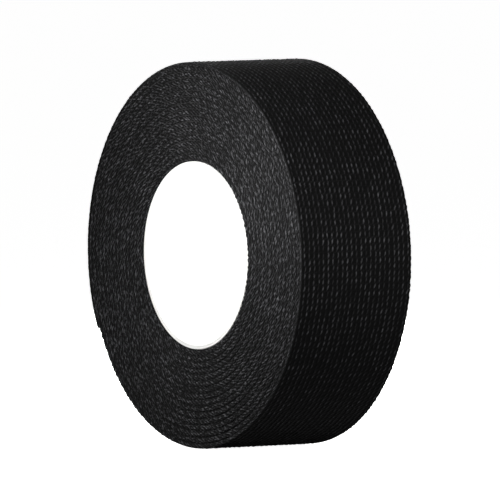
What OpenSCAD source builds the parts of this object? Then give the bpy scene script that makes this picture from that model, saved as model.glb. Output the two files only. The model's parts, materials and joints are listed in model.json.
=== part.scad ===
// A roll of knitted elastic grip tape, wound on a white paper core and standing on its rim.
// The origin is the centre of the core's bore, the axis runs along Y, and +Z is up.
// Seen from -Y the tape winds outwards counterclockwise. Its free end lies on the -X side.

/* [Core] */
// Radius of the bore through the core
bore_r = 16.9; // [10:0.1:30]
// Thickness of the core's inner paper ply
inner_ply_t = 0.4; // [0.3:0.05:1.5]
// Thickness of the core's outer paper ply
outer_ply_t = 0.4; // [0.3:0.05:1.5]
// Length of the core along its axis
core_l = 25; // [15:0.5:50]

/* [Adhesive under the start of the tape] */
// Thickness of the film
film_t = 0.1; // [0.06:0.01:0.3]
// Length of the film along the tape
film_l = 20; // [5:1:30]
// Width of the film across the tape
film_w = 15; // [5:0.5:15]

/* [Tape] */
// Width of the tape
tape_w = 25; // [15:0.5:50]
// Thickness of the tape as it is wound
tape_t = 1.13; // [0.8:0.01:2]
// Air between one turn and the next
turn_gap = 0.05; // [0.02:0.01:0.06]
// Number of turns, with the outermost one
turns = 16; // [4:1:30]
// Thickness of the tape at its feathered start
start_t = 0.15; // [0.1:0.05:0.4]
// Thickness of the tape at its pressed free end
end_t = 0.3; // [0.2:0.05:0.8]

/* [Free end] */
// Direction of the free end, counterclockwise from +X as seen from -Y
end_angle = 205; // [190:1:250]
// Part of the rim over which the free end peels back, in degrees
peel_angle = 45; // [20:1:90]
// Clearance under the part that peels back
peel_gap = 0.12; // [0.06:0.01:0.2]
// Clearance between one segment of that part and the next
parting = 0.06; // [0.03:0.01:0.1]

/* [Hidden] */
$fn = 180;
core_r = bore_r + inner_ply_t + outer_ply_t;
pitch = tape_t + turn_gap;
// Every turn is two half turns: the first about the core's axis, the second about a centre
// half a pitch along +x from it, where +x points at the free end. Their faces meet smoothly.
shift = pitch / 2;
// Radius that the turns are counted from, a gap inside the first turn's inner face
wind_r = core_r + film_t - turn_gap;
// Same radius for the outermost turn
last_r = wind_r + (turns - 1) * pitch;
// The outermost turn thins on its way to the free end, so that the rim stays nearly round.
// Each half of its outer face is an arc, about a centre on the same x axis.
rise = end_t + peel_gap;
rim_shift_1 = (pitch - rise) / 4;
rim_r_1 = last_r + (3 * pitch + rise) / 4;
rim_shift_2 = (pitch + rise) / 4;
rim_r_2 = last_r + 3 * (pitch + rise) / 4;
// The start is cut off where its crescent comes down to start_t
start_angle = 360 - acos(2 * (start_t + turn_gap) / pitch - 1);
film_angle = film_l / core_r * 180 / PI;
peel_from = 360 - peel_angle;
segment_angle = peel_angle / 3;
parting_angle = parting / rim_r_2 * 180 / PI;
reach = 2 * (rim_r_2 + pitch);

function lap_name(k) = str("lap_", k < 10 ? "0" : "", k);

// Stands what is drawn flat in the winding's own frame up on the rim, with x at the free end
module stand_up() {
    rotate([90, 0, 0]) rotate([0, 0, end_angle]) children();
}

// Ring segment about the z axis, between two radii and two angles
module arc_of_ring(r_in, r_out, from, to, width) {
    rotate([0, 0, from])
        rotate_extrude(angle = to - from)
            translate([r_in, -width / 2]) square([r_out - r_in, width]);
}

// Space between two cylinders whose axes are shifted along x, kept between two angles
module arc_of_crescent(shift_in, r_in, shift_out, r_out, from, to) {
    intersection() {
        difference() {
            translate([shift_out, 0, 0]) cylinder(h = tape_w, r = r_out, center = true);
            translate([shift_in, 0, 0]) cylinder(h = tape_w + 2, r = r_in, center = true);
        }
        arc_of_ring(bore_r / 2, reach, from, to, tape_w + 1);
    }
}

module core_inner_ply() {
    color("white")
        stand_up() arc_of_ring(bore_r, bore_r + inner_ply_t, 0, 360, core_l);
}

module core_outer_ply() {
    color("whitesmoke")
        stand_up() arc_of_ring(bore_r + inner_ply_t, core_r, 0, 360, core_l);
}

// Film between the core and the first stretch of tape, from the tape's cut start onwards
module start_adhesive() {
    color("lightyellow") stand_up()
        arc_of_ring(core_r, core_r + film_t, start_angle, start_angle + film_angle, film_w);
}

// Start of the tape: a crescent that grows from start_t to the full thickness
module lap_start() {
    color([0.13, 0.13, 0.14]) stand_up()
        arc_of_crescent(0, wind_r + turn_gap, shift, wind_r + shift, start_angle, 360);
}

// One full turn of tape
module lap(k) {
    r_in = wind_r + (k - 1) * pitch + turn_gap;
    r_out = wind_r + k * pitch;
    color([0.13, 0.13, 0.14]) stand_up() {
        arc_of_ring(r_in, r_out, 0, 180, tape_w);
        translate([shift, 0, 0]) arc_of_ring(r_in + shift, r_out + shift, 180, 360, tape_w);
    }
}

// Outermost turn, up to the line where the free end peels back
module outer_lap() {
    color([0.1, 0.1, 0.11]) stand_up() {
        arc_of_crescent(0, last_r + turn_gap, rim_shift_1, rim_r_1, 0, 180);
        arc_of_crescent(shift, last_r + shift + turn_gap, rim_shift_2, rim_r_2, 180, peel_from);
    }
}

// Segment i of the part that peels back, counted from the roll
module tail_segment(i) {
    from = peel_from + i * segment_angle;
    color([0.1, 0.1, 0.11]) stand_up()
        arc_of_crescent(shift, last_r + shift + peel_gap, rim_shift_2, rim_r_2,
                        from + parting_angle, from + segment_angle);
}

module tail_root() { tail_segment(0); }
module tail_middle() { tail_segment(1); }
module tail_tip() { tail_segment(2); }

core_inner_ply();
core_outer_ply();
start_adhesive();
lap_start();
for (k = [1 : turns - 1]) lap(k);
outer_lap();
tail_root();
tail_middle();
tail_tip();
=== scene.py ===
import json
import math
import bpy
import numpy as np
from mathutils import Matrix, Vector


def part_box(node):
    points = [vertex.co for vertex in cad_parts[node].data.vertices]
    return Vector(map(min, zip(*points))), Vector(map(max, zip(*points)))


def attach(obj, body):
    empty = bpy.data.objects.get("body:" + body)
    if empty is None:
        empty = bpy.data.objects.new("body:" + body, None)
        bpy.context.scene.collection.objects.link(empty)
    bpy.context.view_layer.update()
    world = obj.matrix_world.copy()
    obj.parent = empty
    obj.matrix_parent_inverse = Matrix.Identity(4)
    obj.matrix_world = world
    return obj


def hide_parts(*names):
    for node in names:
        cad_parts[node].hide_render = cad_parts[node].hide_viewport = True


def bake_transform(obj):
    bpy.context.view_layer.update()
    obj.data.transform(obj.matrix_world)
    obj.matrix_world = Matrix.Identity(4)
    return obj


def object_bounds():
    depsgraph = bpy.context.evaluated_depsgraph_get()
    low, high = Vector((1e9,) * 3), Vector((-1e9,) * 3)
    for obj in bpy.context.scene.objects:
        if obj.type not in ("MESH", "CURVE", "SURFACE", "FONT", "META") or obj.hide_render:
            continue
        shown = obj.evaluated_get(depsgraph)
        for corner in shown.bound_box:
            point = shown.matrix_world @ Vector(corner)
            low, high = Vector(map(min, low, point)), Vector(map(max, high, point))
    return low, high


# Grip tape roll: a knitted elastic tape wound on a paper core, standing on its rim.
# Lengths in the dictionaries are millimetres and angles are degrees, unless a note says otherwise.
# The roll's axis is Y. Directions round it are counted from +X, counterclockwise as seen from -Y.

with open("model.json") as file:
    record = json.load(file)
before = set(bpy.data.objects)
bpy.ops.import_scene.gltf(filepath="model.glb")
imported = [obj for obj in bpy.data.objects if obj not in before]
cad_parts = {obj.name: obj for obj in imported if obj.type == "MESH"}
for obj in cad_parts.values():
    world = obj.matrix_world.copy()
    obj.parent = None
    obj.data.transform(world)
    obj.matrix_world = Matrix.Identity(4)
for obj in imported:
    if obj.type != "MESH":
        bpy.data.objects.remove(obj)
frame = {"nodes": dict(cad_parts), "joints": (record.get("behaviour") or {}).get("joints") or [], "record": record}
cadBox = [list(corner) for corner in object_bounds()]
mm = 0.001
fullTurn = 2 * math.pi


def nodePolar(node):
    # distance from the axis and direction round it of every vertex of a CAD node
    mesh = frame["nodes"][node].data
    co = np.empty(len(mesh.vertices) * 3)
    mesh.vertices.foreach_get("co", co)
    co = co.reshape(-1, 3)
    return np.hypot(co[:, 0], co[:, 2]), np.arctan2(co[:, 2], co[:, 0])


def farthest(node):
    # the vertex of a CAD node that is farthest from the axis, as distance and direction
    radius, direction = nodePolar(node)
    return radius.max(), direction[radius.argmax()]


turnNames = sorted(name for name in frame["nodes"] if name.startswith("lap_") and name != "lap_start")
turnCount = len(turnNames) + 1
firstFar, endDirection = farthest(turnNames[0])
pitch = farthest(turnNames[1])[0] - firstFar
windR = firstFar - 2 * pitch
lastR = windR + (turnCount - 1) * pitch
rise = farthest("tail_tip")[0] - lastR - pitch
tipRadius, tipDirection = nodePolar("tail_tip")
atTip = np.abs(np.angle(np.exp(1j * (tipDirection - endDirection)))) < 1e-3
peelGap = tipRadius[atTip].min() - lastR - pitch
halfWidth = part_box(turnNames[0])[1].y
hingePoints = [Vector(joint["pos_m"]) for joint in frame["joints"]]
hingeTurns = [(math.atan2(p.z, p.x) - endDirection) % fullTurn for p in hingePoints]
print(f"frame read: {turnCount} turns, pitch {pitch / mm:.3f} mm, rim {(lastR + pitch) / mm:.2f} mm,"
      f" free end at {math.degrees(endDirection) % 360:.1f} degrees")


def circleReach(shift, radius, turn):
    # distance from the axis to a circle whose centre lies shift towards the free end:
    # shift cos(turn) + the root of (radius squared - (shift sin(turn)) squared)
    return shift * np.cos(turn) + np.sqrt(radius ** 2 - (shift * np.sin(turn)) ** 2)


def windingFace(count, turn):
    # outer face of turn number count: half a circle about the axis, then half a circle
    # about a centre half a pitch away, which ends one pitch further out
    radius = windR + count * pitch
    return np.where(turn < math.pi, radius, circleReach(pitch / 2, radius + pitch / 2, turn))


def rimFace(turn):
    # outer face of the last turn, which thins towards the free end: two half circles again, whose
    # centres lie (pitch - rise) / 4 and (pitch + rise) / 4 towards it. It starts at lastR + pitch and
    # ends rise further out.
    first = circleReach((pitch - rise) / 4, lastR + (3 * pitch + rise) / 4, turn)
    second = circleReach((pitch + rise) / 4, lastR + 3 * (pitch + rise) / 4, turn)
    return np.where(turn < math.pi, first, second)


ovalPower = 0.6     # how full a stitch is: 0.5 would make its section half an ellipse
seedStep = 1000     # a seed is the dictionary's own times this, plus the number of the turn or side


def bumps(along, across, jitterAlong, jitterAcross, lean, size, halfLength, halfWidth):
    # highest of the oval stitches near each point: size (1 - (a / halfLength) squared
    # - (b / halfWidth) squared) to the power ovalPower, with a along the stitch and b across it,
    # where the oval leans by lean for each step along
    count = len(size)
    cell = np.floor(along).astype(int)
    height, toneAndShade = np.zeros(np.broadcast(along, across).shape), np.zeros(np.broadcast(along, across).shape)
    for neighbour in (-1, 0, 1):
        k = (cell + neighbour) % count
        a = along - (cell + neighbour + 0.5 + jitterAlong[k])
        b = across - jitterAcross[k] - lean[k] * a
        inside = np.clip(1 - (a / halfLength) ** 2 - (b / halfWidth) ** 2, 0, 1)
        here = size[k] * inside ** ovalPower
        toneAndShade = np.where(here > height, size[k], toneAndShade)
        height = np.maximum(height, here)
    return height, toneAndShade


# The knit, as it shows on the rim and on the inside of the peeled end
knit = {
    "columns": 23,           # stitches across the tape
    "rowsPerTurn": 184,      # stitches round the rim
    "depth": 0.24,           # from the top of a stitch down to the holes
    "stitchLength": 0.48,    # half length of a stitch, in rows
    "stitchWidth": 0.21,     # half width of a stitch, in columns
    "partner": (0.44, 0.5, 0.55),  # a lower stitch beside each: columns and rows away, and its height
    "partnerSize": (0.30, 0.15),   # its half length in rows and half width in columns
    "lean": 0.18,            # how far a stitch leans sideways over one row, in columns
    "leanSpread": 0.16,      # and how much that differs from stitch to stitch
    "wander": 0.08,          # sideways scatter of single stitches, in columns
    "scatter": 0.1,          # their scatter along the tape, in rows
    "sizeSpread": 0.20,      # the lowest are lower by twice this share
    "barHeight": 0.30,       # yarn that crosses between the columns, as a share of depth
    "barWidth": 0.13,        # its half width, in rows
    "barToneAndShade": 0.6,          # its tone, as painted shade, where a stitch's tone is its height
    "deepest": 0.5,          # the knit is no deeper than this share of the tape's thickness
    "insideDepth": 0.22,     # depth of the knit on the inside, as a share of the thickness
    "insideSeed": 50,        # the inside's random draws are this far from the outside's
    "plain": 0.6,            # relief and tone of a face that isn't knitted
    "frayRows": 2,           # the unevenness of a cut end dies out over this many rows
    "frayPoints": 47,        # and has this many yarn ends across the tape
    "columnSteps": (0, 0.17, 0.33, 0.5, 0.67, 0.83),
    "rowSteps": (0, 0.2, 0.4, 0.6, 0.8),
    "seed": 5,
}


def knitRelief(row, column, seed):
    # leaning ovals in every column, lower ones between the columns, and low bars of yarn across the
    # columns at each row's end, of height exp(-(distance / width) squared)
    random = np.random.default_rng(knit["seed"] * seedStep + seed)
    rows, columns = knit["rowsPerTurn"], knit["columns"]
    table = random.uniform(-1, 1, (4, columns + 2, rows))
    table[..., [0, 1, -2, -1]] = 0  # so that two turns meet alike
    height, toneAndShade = np.zeros(row.shape), np.zeros(row.shape)
    sideways, onward, lower = knit["partner"]
    for shiftColumn, shiftRow, top, halfLength, halfWidth in (
            (0.0, 0.0, 1.0, knit["stitchLength"], knit["stitchWidth"]),
            (sideways, onward, lower, *knit["partnerSize"])):
        place = np.clip(np.floor(column - shiftColumn).astype(int), -1, columns)
        cell = np.floor(row - shiftRow).astype(int)
        for neighbour in (-1, 0, 1):
            k, r = place + 1, (cell + neighbour) % rows
            a = row - shiftRow - (cell + neighbour + 0.5 + knit["scatter"] * table[0, k, r])
            lean = knit["lean"] + knit["leanSpread"] * table[1, k, r]
            b = column - shiftColumn - place - 0.5 - knit["wander"] * table[2, k, r] - lean * a
            size = top * (1 - knit["sizeSpread"] + knit["sizeSpread"] * table[3, k, r])
            here = size * np.clip(1 - (a / halfLength) ** 2 - (b / halfWidth) ** 2, 0, 1) ** ovalPower
            toneAndShade = np.where(here > height, size, toneAndShade)
            height = np.maximum(height, here)
    bar = knit["barHeight"] * np.exp(-((row - np.round(row)) / knit["barWidth"]) ** 2)
    # the tone of each point is the height of its stitch or bar, which the yarn turns into painted shade on the
    # lower ones
    return np.maximum(height, bar), np.where(bar > height, knit["barToneAndShade"], toneAndShade)


# The edge of each turn, as it shows on the side faces
edge = {
    "stitchPitch": 1.24,     # length of tape for each stitch
    "round": 0.16,           # how far the corners of the tape fall back
    "roundBetween": 1.3,     # times this on the ground between the stitches, and this less 1 on top of them
    "depth": 0.24,           # from the top of an edge stitch down to its ground
    "strands": (-0.72, -0.26, 0.22, 0.70),      # where they run, in halves of the thickness
    "strandStart": (0.5, 0.0, 0.5, 0.0),        # how far each is shifted along, in pitches
    "strandSize": (0.82, 1.0, 1.0, 0.82),       # height of their stitches, as a share of depth
    "strandLength": (0.36, 0.42, 0.42, 0.36),   # half length, in pitches
    "strandWidth": (0.22, 0.26, 0.26, 0.22),    # half width, in halves of the thickness
    "scatter": 0.26,         # how far a stitch may sit from its place along, in pitches
    "lean": 0.55,            # rise of a stitch over one pitch, in halves of the thickness
    "leanSpread": 0.75,      # and how much that differs from stitch to stitch
    "wander": 0.12,          # scatter across the edge, in halves of the thickness
    "sizeSpread": 0.24,      # the lowest stitches are lower by twice this share
    "steps": 16,             # faces across the edge
    "stepsAlong": 8,         # faces along each stitch
    "waveHeight": 0.07,      # slow wave of a turn's edge in and out of the side face
    "waves": ((0.6, 0.73, 1.3), (0.4, 1.91, 1.0)),  # each one's share, its waves to a turn, and its
                                                    # shift between the sides in radians
    "seed": 11,
}


def stitchesIn(turnNumber):
    # edge stitches round one turn: full turn times its radius / stitchPitch, and on the last
    # two turns as many as the knit has rows
    if turnNumber >= turnCount - 1:
        return knit["rowsPerTurn"]
    return fullTurn * (windR + turnNumber * pitch) / (edge["stitchPitch"] * mm)


# the number of the first stitch of each turn, counted along the whole tape
firstStitch = np.cumsum([0] + [stitchesIn(turnNumber) for turnNumber in range(turnCount + 1)])


def edgeRelief(stitch, across, side):
    # strands of short slanted stitches side by side, each with its own start: the highest counts
    random = np.random.default_rng(edge["seed"] * seedStep + side)
    height, toneAndShade = np.zeros(stitch.shape), np.zeros(stitch.shape)
    strands = zip(edge["strands"], edge["strandStart"], edge["strandSize"],
                  edge["strandLength"], edge["strandWidth"])
    for place, start, size, halfLength, halfWidth in strands:
        lean, sizes, along, sideways = random.uniform(-1, 1, (4, math.ceil(firstStitch[-1])))
        lean = edge["lean"] + edge["leanSpread"] * lean
        sizes = size * (1 - edge["sizeSpread"] + edge["sizeSpread"] * sizes)
        along = edge["scatter"] * along
        sideways = place + edge["wander"] * sideways
        here, hereToneAndShade = bumps(stitch + start, across, along, sideways, lean, sizes, halfLength, halfWidth)
        toneAndShade = np.where(here > height, hereToneAndShade, toneAndShade)
        height = np.maximum(height, here)
    return height, toneAndShade


def ringMesh(name, points, uv, relief, toneAndShade, closedAlong=False):
    # a grid of rings carried along the tape. points is (along, around, 3) and each ring runs from the
    # front edge over the outer face, so that the faces point outwards. uv has one more column, where
    # the ring closes, and one more row where the piece closes on itself.
    along, around = points.shape[:2]
    spans = along if closedAlong else along - 1
    i, j = np.meshgrid(np.arange(spans), np.arange(around), indexing="ij")
    nextI, nextJ = (i + 1) % along, (j + 1) % around
    quads = np.stack([i * around + j, i * around + nextJ, nextI * around + nextJ, nextI * around + j], -1)
    loops = quads.reshape(-1)
    loopUv = np.stack([uv[i, j], uv[i, j + 1], uv[i + 1, j + 1], uv[i + 1, j]], 2).reshape(-1, 2)
    starts = np.arange(quads.size // 4) * 4
    if not closedAlong:  # one flat face on each end
        firstRing = np.arange(around)[::-1]
        lastRing = np.arange(around) + (along - 1) * around
        starts = np.concatenate([starts, [loops.size, loops.size + around]])
        loops = np.concatenate([loops, firstRing, lastRing])
        loopUv = np.concatenate([loopUv, uv[0, :around][::-1], uv[-1, :around]])
    mesh = bpy.data.meshes.new(name)
    mesh.vertices.add(along * around)
    mesh.vertices.foreach_set("co", points.astype(np.float32).ravel())
    mesh.loops.add(loops.size)
    mesh.loops.foreach_set("vertex_index", loops.astype(np.int32))
    mesh.polygons.add(starts.size)
    mesh.polygons.foreach_set("loop_start", starts.astype(np.int32))
    mesh.polygons.foreach_set("use_smooth", np.arange(starts.size) < quads.size // 4)  # ends stay sharp
    mesh.update(calc_edges=True)
    mesh.uv_layers.new(name="alongTape").data.foreach_set("uv", loopUv.astype(np.float32).ravel())
    # relief also carries the yarn's painted shade in the holes, and the tone its painted shade on the lower
    # stitches and bars
    for label, values in (("relief", relief), ("toneAndShade", toneAndShade)):
        attribute = mesh.attributes.new(label, "FLOAT", "POINT")
        attribute.data.foreach_set("value", values.astype(np.float32).ravel())
    mesh.validate()
    piece = bpy.data.objects.new(name, mesh)
    bpy.context.scene.collection.objects.link(piece)
    return piece


def onRoll(radius, turn, y):
    # a point of the winding: (radius cos(direction), y, radius sin(direction)), where the direction is
    # the angle from the free end plus the free end's own
    direction = turn + endDirection
    return np.stack([radius * np.cos(direction), y, radius * np.sin(direction)], -1)


narrowStep = 0.03    # ring beside each end of a piece, in stitches
nearestStep = 1.5    # the next ring lies at least this many narrow steps from the end


def stepsBetween(start, end, count, steps):
    # the angles of every stitch's own steps between two angles, with both ends, and a
    # narrow step beside each end, so that pieces that meet there are shaded alike
    angles = ((np.arange(count)[:, None] + np.array(steps)) / count * fullTurn).ravel()
    step = narrowStep * fullTurn / count
    inside = angles[(angles > start + nearestStep * step) & (angles < end - nearestStep * step)]
    return np.concatenate([[start, start + step], inside, [end - step, end]])


def edgeWave(turnsWound, side):
    # slow waves along the whole tape, from -1 to 1, which differ on turns that touch: the sum of
    # share sin(full turn * waves * turnsWound + shift * side)
    return sum(share * np.sin(fullTurn * waves * turnsWound + shift * side)
               for share, waves, shift in edge["waves"])


def tapePiece(name, turnNumber, innerFace, outerFace, start, end,
              knitOutside=False, knitInside=False, fray=0, drawnIn=0):
    # A length of tape between two faces, which are distances from the axis for each angle. Across the
    # tape each ring has a front edge, an outer face, a back edge and an inner face. The edges bulge by
    # round (1 - root(1 - |t|^3)) from corner to corner and carry edgeRelief; knitted faces carry knitRelief.
    # Where the tape is thinner than a turn, its edges lie back by up to drawnIn.
    count = stitchesIn(turnNumber)
    rowSteps = np.arange(edge["stepsAlong"]) / edge["stepsAlong"]
    if knitOutside or knitInside:
        rowSteps = knit["rowSteps"]
    turn = stepsBetween(start, end, count, rowSteps)[:, None]
    row = turn / fullTurn * count
    stitch = firstStitch[turnNumber] + row
    inner, outer = innerFace(turn), outerFace(turn)
    thickness = outer - inner
    outerDepth = np.minimum(knit["depth"] * mm, knit["deepest"] * thickness) if knitOutside else 0 * thickness
    innerDepth = knit["insideDepth"] * thickness if knitInside else 0 * thickness
    across = np.linspace(-1, 1, edge["steps"] + 1)[None, :]
    edgeInner, edgeOuter = inner + 0.5 * innerDepth, outer - 0.5 * outerDepth
    edgeRadius = edgeInner + (across + 1) / 2 * (edgeOuter - edgeInner)
    fullness = np.minimum(1, thickness / pitch)
    bulge = edge["round"] * mm * (1 - np.sqrt(1 - np.abs(across) ** 3))
    edges = []
    for side in (-1, 1):
        relief, toneAndShade = edgeRelief(stitch + 0 * across, across + 0 * stitch, side + 1)
        wave = edge["waveHeight"] * mm * (1 - edgeWave(turnNumber + turn / fullTurn, side)) / 2
        fall = (bulge * (edge["roundBetween"] - relief) + edge["depth"] * mm * (1 - relief)) * fullness + wave
        fall = fall + drawnIn * mm * (1 - fullness)
        edges.append((side * (halfWidth - fall), relief, toneAndShade))
    (frontY, frontRelief, frontToneAndShade), (backY, backRelief, backToneAndShade) = edges

    def face(knitted, depth, base, sign, seed, frontY, backY):
        # a plain face has no columns between its two sides
        column = np.array([[0.0, knit["columns"]]])
        relief = np.full((len(turn), 2), knit["plain"])
        toneAndShade = relief
        if knitted:
            column = (np.arange(knit["columns"])[:, None] + np.array(knit["columnSteps"])).reshape(1, -1)
            column = np.concatenate([column, [[knit["columns"]]]], 1)
            relief, toneAndShade = knitRelief(row + 0 * column, column + 0 * row, seed)
        y = frontY + column / knit["columns"] * (backY - frontY)
        return base + sign * depth * (1 - relief), y, relief, toneAndShade

    outerRadius, outerY, outerRelief, outerToneAndShade = face(knitOutside, outerDepth, outer, -1, turnNumber,
                                                       frontY[:, -1:], backY[:, -1:])
    innerRadius, innerY, innerRelief, innerToneAndShade = face(knitInside, innerDepth, inner, 1,
                                                       turnNumber + knit["insideSeed"],
                                                       frontY[:, :1], backY[:, :1])
    middle = slice(1, -1)  # a face shares its first and last columns with the edges
    radius = np.concatenate([edgeRadius, outerRadius[:, middle], edgeRadius[:, ::-1],
                             innerRadius[:, middle][:, ::-1]], 1)
    y = np.concatenate([frontY, outerY[:, middle], backY[:, ::-1], innerY[:, middle][:, ::-1]], 1)
    relief = np.concatenate([frontRelief, outerRelief[:, middle], backRelief[:, ::-1],
                             innerRelief[:, middle][:, ::-1]], 1)
    toneAndShade = np.concatenate([frontToneAndShade, outerToneAndShade[:, middle], backToneAndShade[:, ::-1],
                           innerToneAndShade[:, middle][:, ::-1]], 1)
    angle = turn + 0 * y
    if fray:  # the cut end is a little uneven
        random = np.random.default_rng(knit["seed"])
        yarnEnds = np.linspace(-halfWidth, halfWidth, knit["frayPoints"])
        cut = np.interp(y, yarnEnds, random.uniform(-1, 0, knit["frayPoints"])) * fray * mm
        nearEnd = np.clip(1 - (end - turn) / (fullTurn * knit["frayRows"] / count), 0, 1)
        angle = angle + cut / outer * nearEnd
    # millimetres along the tape, and across it
    lengthwise = stitch * edge["stitchPitch"] + 0 * y
    edgeShare = 0.5 * across[0]
    roundRing = np.concatenate([edgeShare, np.zeros(outerRadius.shape[1] - 2), edgeShare[::-1],
                                np.zeros(innerRadius.shape[1] - 2)])
    crosswise = y / mm + roundRing
    uv = np.stack([lengthwise, crosswise], -1)
    uv = np.concatenate([uv, uv[:, :1]], 1)
    return ringMesh(name, onRoll(radius, angle, y), uv, relief, toneAndShade)


core = {
    "recess": 0.22,          # the tape's edge stands out past the paper by this
    "lip": 0.10,             # rounding of the cut paper edges
    "lipShare": 0.45,        # but no more than this share of the ply's thickness
    "lipSteps": 5,           # points round a lip
    "cutEndsPaintedShade": 0.45,    # painted shade on the cut ends: their color, from 0 for paper's seamColor to 1 for its wallColor
    "seamDepth": 0.05,       # the groove where two turns of the paper strip meet
    "seamWidth": 0.22,       # its half width
    "seamLead": 17.0,        # the paper strip's width along the bore
    "around": 256,           # faces round the tube
    "alongWall": 120,        # points along the bore wall
}


def paperTube(name, innerRadius, outerRadius, halfLength, seamed):
    # A tube whose section is a rectangle with quarter-circle lips, of lip (1 - cos) and lip (1 - sin) of
    # an angle. A seamed bore wall has a spiral groove, seamDepth exp(-(distance / seamWidth) squared)
    # deep, at a distance from where y / seamLead - angle / full turn is a whole number.
    lip = min(core["lip"] * mm, core["lipShare"] * (outerRadius - innerRadius))
    flat = halfLength - lip
    turn = np.arange(core["around"])[:, None] / core["around"] * fullTurn
    arc = np.linspace(0, math.pi / 2, core["lipSteps"])[None, :] + 0 * turn
    wallY = np.linspace(flat, -flat, core["alongWall"])[None, 1:-1] + 0 * turn
    rising, falling = lip * (1 - np.cos(arc)), lip * (1 - np.sin(arc))
    offset = wallY / (core["seamLead"] * mm) - turn / fullTurn
    away = np.abs(offset - np.round(offset)) * core["seamLead"] / core["seamWidth"]
    groove = core["seamDepth"] * mm * np.exp(-away ** 2) if seamed else 0 * away
    radius = np.concatenate([innerRadius + rising, outerRadius - falling, outerRadius - rising,
                             innerRadius + falling, innerRadius + groove], 1)
    y = np.concatenate([-flat - lip * np.sin(arc), -flat - lip * np.cos(arc), flat + lip * np.sin(arc),
                        flat + lip * np.cos(arc), wallY], 1)
    # the cut ends get painted shade, a grey between seam and wall color
    relief = np.full(radius.shape, core["cutEndsPaintedShade"])
    relief[:, -wallY.shape[1]:] = 1 - groove / (core["seamDepth"] * mm)
    uv = np.stack([turn * innerRadius / mm + 0 * y, y / mm], -1)
    uv = np.concatenate([uv, uv[:, :1]], 1)
    uv = np.concatenate([uv, uv[:1]], 0)
    points = onRoll(radius, turn + 0 * y, y)
    return ringMesh(name, points, uv, relief, np.ones(radius.shape), closedAlong=True)


noiseEnds = (0.3, 0.7)    # most of a noise lies between these


def newFinish(name, baseColor):
    # a material and its nodes, links and shader
    finish = bpy.data.materials.new(name)
    finish.use_nodes = True
    finish.diffuse_color = (*baseColor, 1)
    nodes, links = finish.node_tree.nodes, finish.node_tree.links
    return finish, nodes, links, nodes["Principled BSDF"]


def mixColors(nodes, links, share, low, high, blendType="MIX"):
    # low + share (high - low), or with MULTIPLY low times high: each is a value or a socket
    mix = nodes.new("ShaderNodeMix")
    mix.data_type, mix.blend_type = "RGBA", blendType
    for socket, value in ((mix.inputs[0], share), (mix.inputs[6], low), (mix.inputs[7], high)):
        if isinstance(value, bpy.types.NodeSocket):
            links.new(value, socket)
        else:
            socket.default_value = value
    return mix.outputs[2]


def attributeValue(nodes, label):
    # a number kept with every vertex
    node = nodes.new("ShaderNodeAttribute")
    node.attribute_name = label
    return node.outputs["Fac"]


def mapped(nodes, links, value, low, high, newLow, newHigh):
    # newLow + (newHigh - newLow) (value - low) / (high - low), kept between newLow and newHigh
    node = nodes.new("ShaderNodeMapRange")
    node.inputs["From Min"].default_value, node.inputs["From Max"].default_value = low, high
    node.inputs["To Min"].default_value, node.inputs["To Max"].default_value = newLow, newHigh
    links.new(value, node.inputs["Value"])
    return node.outputs["Result"]


def noiseOn(nodes, links, vector, scale, stretch, detail):
    # noise in the place given by vector, where stretch multiplies each direction
    mapping = nodes.new("ShaderNodeMapping")
    mapping.inputs["Scale"].default_value = stretch
    links.new(vector, mapping.inputs["Vector"])
    noise = nodes.new("ShaderNodeTexNoise")
    noise.inputs["Scale"].default_value = scale
    noise.inputs["Detail"].default_value = detail
    links.new(mapping.outputs["Vector"], noise.inputs["Vector"])
    return noise.outputs["Fac"]


yarn = {
    "top": (0.036, 0.036, 0.0385, 1),
    # painted shade down in the holes between the stitches
    "paintedPitShade": (0.0015, 0.0015, 0.0017, 1),
    "raised": (0.25, 0.85),       # relief where the color leaves the painted shade of the pits, and where it is all top
    "toneEnds": (0.5, 1.0),       # heights of stitches that get the two brightnesses in toneShade: painted shade on the lower ones
    "toneShade": (0.30, 1.70),
    "roughness": (0.86, 0.58),    # down in the holes, and on top of the stitches
    "roughnessEnds": (0.2, 0.9),  # relief where it is the one and the other
    "specular": 0.20,
    "sheen": 0.05,
    "sheenRoughness": 0.45,
    "fibreScale": 3.6,            # fibres to the millimetre across the yarn
    "fibreStretch": 0.45,         # times this along it
    "fibreDetail": 3,
    "fibreShade": (0.15, 2.1),    # brightness between the fibres and on them
    "fibreBump": 0.5,
    "fibreHeight": 0.03,
    "patchScale": 90,             # wide faint patches, to the metre
    "patchDetail": 2,
    "patchShade": (0.85, 1.15),
}


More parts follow.
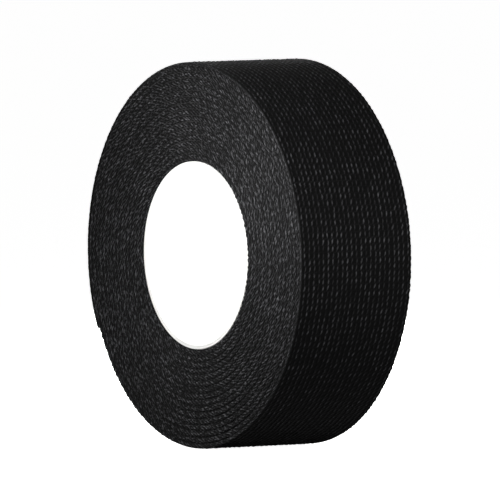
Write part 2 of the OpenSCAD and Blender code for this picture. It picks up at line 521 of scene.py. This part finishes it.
def blackYarn():
    # knitted yarn: painted shade in the holes and on the lower stitches and bars, lighter on each high stitch,
    # with fine fibres along the tape
    finish, nodes, links, shader = newFinish("blackYarn", yarn["top"][:3])
    relief, toneAndShade = attributeValue(nodes, "relief"), attributeValue(nodes, "toneAndShade")
    uv = nodes.new("ShaderNodeUVMap")
    uv.uv_map = "alongTape"
    fibres = noiseOn(nodes, links, uv.outputs["UV"], yarn["fibreScale"],
                     (yarn["fibreStretch"], 1, 1), yarn["fibreDetail"])
    place = nodes.new("ShaderNodeTexCoord").outputs["Object"]
    patches = noiseOn(nodes, links, place, yarn["patchScale"], (1, 1, 1), yarn["patchDetail"])
    # painted shade: the color darkens from the tops of the stitches down into the holes
    raised = mapped(nodes, links, relief, *yarn["raised"], 0, 1)
    color = mixColors(nodes, links, raised, yarn["paintedPitShade"], yarn["top"])
    # partly a random spread from stitch to stitch, partly painted shade on the lower stitches and bars, from their
    # height
    for value, ends, shades in ((toneAndShade, yarn["toneEnds"], yarn["toneShade"]),
                                (fibres, noiseEnds, yarn["fibreShade"]),
                                (patches, noiseEnds, yarn["patchShade"])):
        shade = mapped(nodes, links, value, *ends, *shades)
        color = mixColors(nodes, links, 1.0, color, shade, "MULTIPLY")
    links.new(color, shader.inputs["Base Color"])
    roughness = mapped(nodes, links, relief, *yarn["roughnessEnds"], *yarn["roughness"])
    links.new(roughness, shader.inputs["Roughness"])
    bump = nodes.new("ShaderNodeBump")
    bump.inputs["Strength"].default_value = yarn["fibreBump"]
    bump.inputs["Distance"].default_value = yarn["fibreHeight"] * mm
    links.new(fibres, bump.inputs["Height"])
    links.new(bump.outputs["Normal"], shader.inputs["Normal"])
    shader.inputs["Specular IOR Level"].default_value = yarn["specular"]
    shader.inputs["Sheen Weight"].default_value = yarn["sheen"]
    shader.inputs["Sheen Roughness"].default_value = yarn["sheenRoughness"]
    return finish


paper = {
    "viewColor": (0.9, 0.9, 0.88),
    "wallColor": (0.93, 0.93, 0.92, 1),
    "seamColor": (0.72, 0.71, 0.68, 1),
    "roughness": 0.7,
    "specular": 0.35,
    "fibreScale": 3.0,            # fibres to the millimetre along the bore
    "fibreStretch": 0.4,          # times this round it
    "fibreDetail": 4,
    "fibreShade": (0.97, 1.02),
    "fibreBump": 0.3,
    "fibreHeight": 0.02,
}


def whitePaper():
    # smooth white board with faint fibres, a little darker in the spiral seam, and with painted shade on the cut
    # ends
    finish, nodes, links, shader = newFinish("whitePaper", paper["viewColor"])
    uv = nodes.new("ShaderNodeUVMap")
    uv.uv_map = "alongTape"
    fibres = noiseOn(nodes, links, uv.outputs["UV"], paper["fibreScale"],
                     (paper["fibreStretch"], 1, 1), paper["fibreDetail"])
    relief = attributeValue(nodes, "relief")
    color = mixColors(nodes, links, relief, paper["seamColor"], paper["wallColor"])
    shade = mapped(nodes, links, fibres, *noiseEnds, *paper["fibreShade"])
    links.new(mixColors(nodes, links, 1.0, color, shade, "MULTIPLY"), shader.inputs["Base Color"])
    shader.inputs["Roughness"].default_value = paper["roughness"]
    shader.inputs["Specular IOR Level"].default_value = paper["specular"]
    bump = nodes.new("ShaderNodeBump")
    bump.inputs["Strength"].default_value = paper["fibreBump"]
    bump.inputs["Distance"].default_value = paper["fibreHeight"] * mm
    links.new(fibres, bump.inputs["Height"])
    links.new(bump.outputs["Normal"], shader.inputs["Normal"])
    return finish


glue = {
    "viewColor": (0.75, 0.7, 0.5),
    "color": (0.80, 0.76, 0.58, 1),
    "bubbleColor": (0.62, 0.57, 0.38, 1),
    "bubbleScale": 1500,          # bubbles to the metre
    "bubbleDetail": 2,
    "roughness": 0.35,
}


def driedGlue():
    # yellowish film with small bubbles
    finish, nodes, links, shader = newFinish("driedGlue", glue["viewColor"])
    place = nodes.new("ShaderNodeTexCoord").outputs["Object"]
    bubbles = noiseOn(nodes, links, place, glue["bubbleScale"], (1, 1, 1), glue["bubbleDetail"])
    color = mixColors(nodes, links, bubbles, glue["color"], glue["bubbleColor"])
    links.new(color, shader.inputs["Base Color"])
    shader.inputs["Roughness"].default_value = glue["roughness"]
    return finish


def finishPiece(piece, finish, slot, *nodes):
    # gives a piece its material, in the place of the CAD nodes that it replaces; slot is not used
    piece.data.materials.clear()
    piece.data.materials.append(finish)
    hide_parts(*nodes)


blackYarnFinish, whitePaperFinish, driedGlueFinish = blackYarn(), whitePaper(), driedGlue()

boreR = next(m["dims"]["r_mm"] for m in frame["record"]["mounts"] if m["name"] == "bore") * mm
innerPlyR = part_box("core_inner_ply")[1].x
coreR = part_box("core_outer_ply")[1].x
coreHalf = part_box("core_inner_ply")[1].y - core["recess"] * mm
for name, node, radii, seamed in (("coreInnerPly", "core_inner_ply", (boreR, innerPlyR), True),
                                  ("coreOuterPly", "core_outer_ply", (innerPlyR, coreR), False)):
    ply = paperTube(name, *radii, coreHalf, seamed)
    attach(ply, "roll")
    finishPiece(ply, whitePaperFinish, "core_paper", node)
print("core made")

film = frame["nodes"]["start_adhesive"]
film.data.materials.clear()
film.data.materials.append(driedGlueFinish)


tail = {
    "shareOfSegment": 0.5,   # where one piece of the free end hands over to the next
    "bendBefore": (2.4, 4.6, 4.6),  # the bend length before each hinge line
    "bendAfter": 4.6,        # and the bend length after it
    "frayed": 0.28,          # unevenness of the cut end
    "thinned": 0.20,         # the cut end is pressed thinner by this
    "thinnedOver": 9,        # from this far back
    "thinStart": 0.03,       # thickness where the other end begins, against the core
    "startSteps": 2000,      # steps of the search for that place
    "thinDrawnIn": 0.45,     # how far its edges lie back there, level with the corners of the next turn
    "gapShown": 0.25,        # share of the gap under the free end that is left
}


def innerOfTurn(number):
    # the turns are pressed together, so that no light comes through between them
    return lambda turn: windingFace(number - 1, turn)


def outerOfTurn(number):
    # and each one's outer face is the next one's inner face
    return lambda turn: windingFace(number, turn)


def startInner(turn):
    # the start of the tape lies on a circle round the core
    return windR + 0 * turn


def tailInner(turn):
    # the free end lies off the turn beneath it by gapShown times the gap in the CAD model
    return windingFace(turnCount - 1, turn) + tail["gapShown"] * peelGap


def tailOuter(turn):
    # rimFace, pressed down by thinned times the square of the share of the last stretch
    reached = np.clip(1 - (fullTurn - turn) * (lastR + pitch) / (tail["thinnedOver"] * mm), 0, 1)
    return rimFace(turn) - tail["thinned"] * mm * reached ** 2


# the cut start is pressed thin under the first turn: it shows from where thinStart is left of it
turns = np.linspace(math.pi, fullTurn, tail["startSteps"])
startTurn = turns[outerOfTurn(0)(turns) - startInner(turns) > tail["thinStart"] * mm][0]
lapStart = tapePiece("lapStart", 0, startInner, outerOfTurn(0), startTurn, fullTurn,
                     drawnIn=tail["thinDrawnIn"])
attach(lapStart, "roll")
finishPiece(lapStart, blackYarnFinish, "tape", "lap_start")

segment = hingeTurns[1] - hingeTurns[0]
tailStarts = [hinge - tail["shareOfSegment"] * segment for hinge in hingeTurns] + [fullTurn]

for number, node in enumerate(turnNames[:-1], 1):
    lap = tapePiece(f"lap{number:02d}", number, innerOfTurn(number), outerOfTurn(number), 0, fullTurn)
    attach(lap, "roll")
    finishPiece(lap, blackYarnFinish, "tape", node)
print(f"{turnCount - 2} inner turns made")

# the last turn but one shows its knit where the free end peels off it
number, node = turnCount - 1, turnNames[-1]
for name, start, end, knitted in ((f"lap{number:02d}", 0, tailStarts[0], False),
                                  (f"lap{number:02d}UnderTail", tailStarts[0], fullTurn, True)):
    lap = tapePiece(name, number, innerOfTurn(number), outerOfTurn(number), start, end, knitOutside=knitted)
    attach(lap, "roll")
    finishPiece(lap, blackYarnFinish, "tape", node)

for name, start, end in (("rimLapFirstHalf", 0, math.pi), ("rimLapSecondHalf", math.pi, tailStarts[0])):
    rimLap = tapePiece(name, turnCount, innerOfTurn(turnCount), rimFace, start, end, knitOutside=True)
    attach(rimLap, "roll")
    finishPiece(rimLap, blackYarnFinish, "tape", "outer_lap")
print("rim made")

# the free end: each piece spans one hinge line, and meets the next between two hinge lines
tailBodies = ["roll", "tail_root", "tail_middle", "tail_tip"]
for index, name in enumerate(("tailRootCloth", "tailMiddleCloth", "tailTipCloth")):
    cloth = tapePiece(name, turnCount, tailInner, tailOuter, tailStarts[index], tailStarts[index + 1],
                      knitOutside=True, knitInside=True, fray=tail["frayed"] if index == 2 else 0)
    finishPiece(cloth, blackYarnFinish, "tape", tailBodies[index + 1])
    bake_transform(cloth)
print("free end made")


studio = {
    "floorSize": 14000,
    "floorColor": (0.92, 0.92, 0.91, 1),
    "floorRoughness": 0.9,
    "floorGlow": 0.975,
    "glowColor": (1, 1, 1, 1),
    "roomColor": (1, 1, 1, 1),
    "roomForCamera": 1.0,         # brightness of the surroundings as the camera sees them
    "roomForObjects": 0.015,      # and as the roll is lit by them
    # name: place, target, size and power in watts
    "lights": {
        "sideFaceLight": ((30, -72, 25), (6, -12, 4), 40, 0.096),
        "rimLight": ((370, 160, 80), (36, 0, 0), 200, 0.84),
        "boreLight": ((8, 0, 0), (-17, 0, 0), 10, 0.0040),
        "backLight": ((-200, 300, 40), (0, 12, 0), 200, 2.2),
        "freeEndLight": ((-380, 60, 40), (-36, 0, 0), 220, 2.2),
    },
}


def softLight(name, place, target, size, power):
    # a round lamp at place that faces target
    lamp = bpy.data.lights.new(name, "AREA")
    lamp.shape, lamp.size, lamp.energy = "DISK", size * mm, power
    light = bpy.data.objects.new(name, lamp)
    bpy.context.scene.collection.objects.link(light)
    light.location = Vector(place) * mm
    light.rotation_euler = ((Vector(target) - Vector(place)).to_track_quat("-Z", "Y")).to_euler()
    light.visible_camera = False
    return light


def makeFloor():
    # a pale plain square under the rim, which doesn't throw light back at the roll
    floorZ = cadBox[0][2]
    half = studio["floorSize"] * mm / 2
    mesh = bpy.data.meshes.new("floor")
    corners = [(-half, -half, floorZ), (half, -half, floorZ), (half, half, floorZ), (-half, half, floorZ)]
    mesh.from_pydata(corners, [], [(0, 1, 2, 3)])
    floor = bpy.data.objects.new("floor", mesh)
    bpy.context.scene.collection.objects.link(floor)
    finish, *_, shader = newFinish("paleFloor", studio["floorColor"][:3])
    shader.inputs["Base Color"].default_value = studio["floorColor"]
    shader.inputs["Roughness"].default_value = studio["floorRoughness"]
    shader.inputs["Specular IOR Level"].default_value = 0
    shader.inputs["Emission Color"].default_value = studio["glowColor"]
    shader.inputs["Emission Strength"].default_value = studio["floorGlow"]
    mesh.materials.append(finish)
    floor.visible_diffuse = False
    floor.visible_glossy = False


def makeRoom():
    # a white surrounding for the camera, and a dim one as fill light
    world = bpy.data.worlds.new("room")
    world.use_nodes = True
    bpy.context.scene.world = world
    nodes, links = world.node_tree.nodes, world.node_tree.links
    background = nodes["Background"]
    path = nodes.new("ShaderNodeLightPath")
    brightness = mapped(nodes, links, path.outputs["Is Camera Ray"], 0, 1,
                        studio["roomForObjects"], studio["roomForCamera"])
    links.new(brightness, background.inputs["Strength"])
    background.inputs["Color"].default_value = studio["roomColor"]


cameraView = {
    "azimuth": 56.4,
    "elevation": 3.4,
    "distance": 3000,
    "lens": 1146,
    "sensorWidth": 36,
    "shift": (0.0008, 0.0064),    # in sensor widths
    "clip": (0.01, 50),           # in metres
}


def makeCamera():
    # at distance times (sin(azimuth) cos(elevation), -cos(azimuth) cos(elevation), sin(elevation))
    azimuth, elevation = math.radians(cameraView["azimuth"]), math.radians(cameraView["elevation"])
    back = Vector((math.sin(azimuth) * math.cos(elevation), -math.cos(azimuth) * math.cos(elevation),
                   math.sin(elevation)))
    lensData = bpy.data.cameras.new("camera")
    lensData.lens, lensData.sensor_width = cameraView["lens"], cameraView["sensorWidth"]
    lensData.shift_x, lensData.shift_y = cameraView["shift"]
    lensData.clip_start, lensData.clip_end = cameraView["clip"]
    camera = bpy.data.objects.new("camera", lensData)
    bpy.context.scene.collection.objects.link(camera)
    camera.location = back * cameraView["distance"] * mm
    camera.rotation_euler = (-back).to_track_quat("-Z", "Y").to_euler()
    bpy.context.scene.camera = camera


makeFloor()
makeRoom()
for lightName, (place, target, size, power) in studio["lights"].items():
    softLight(lightName, place, target, size, power)
makeCamera()
bpy.context.scene.view_settings.view_transform = "Standard"
print("floor, lights and camera made")
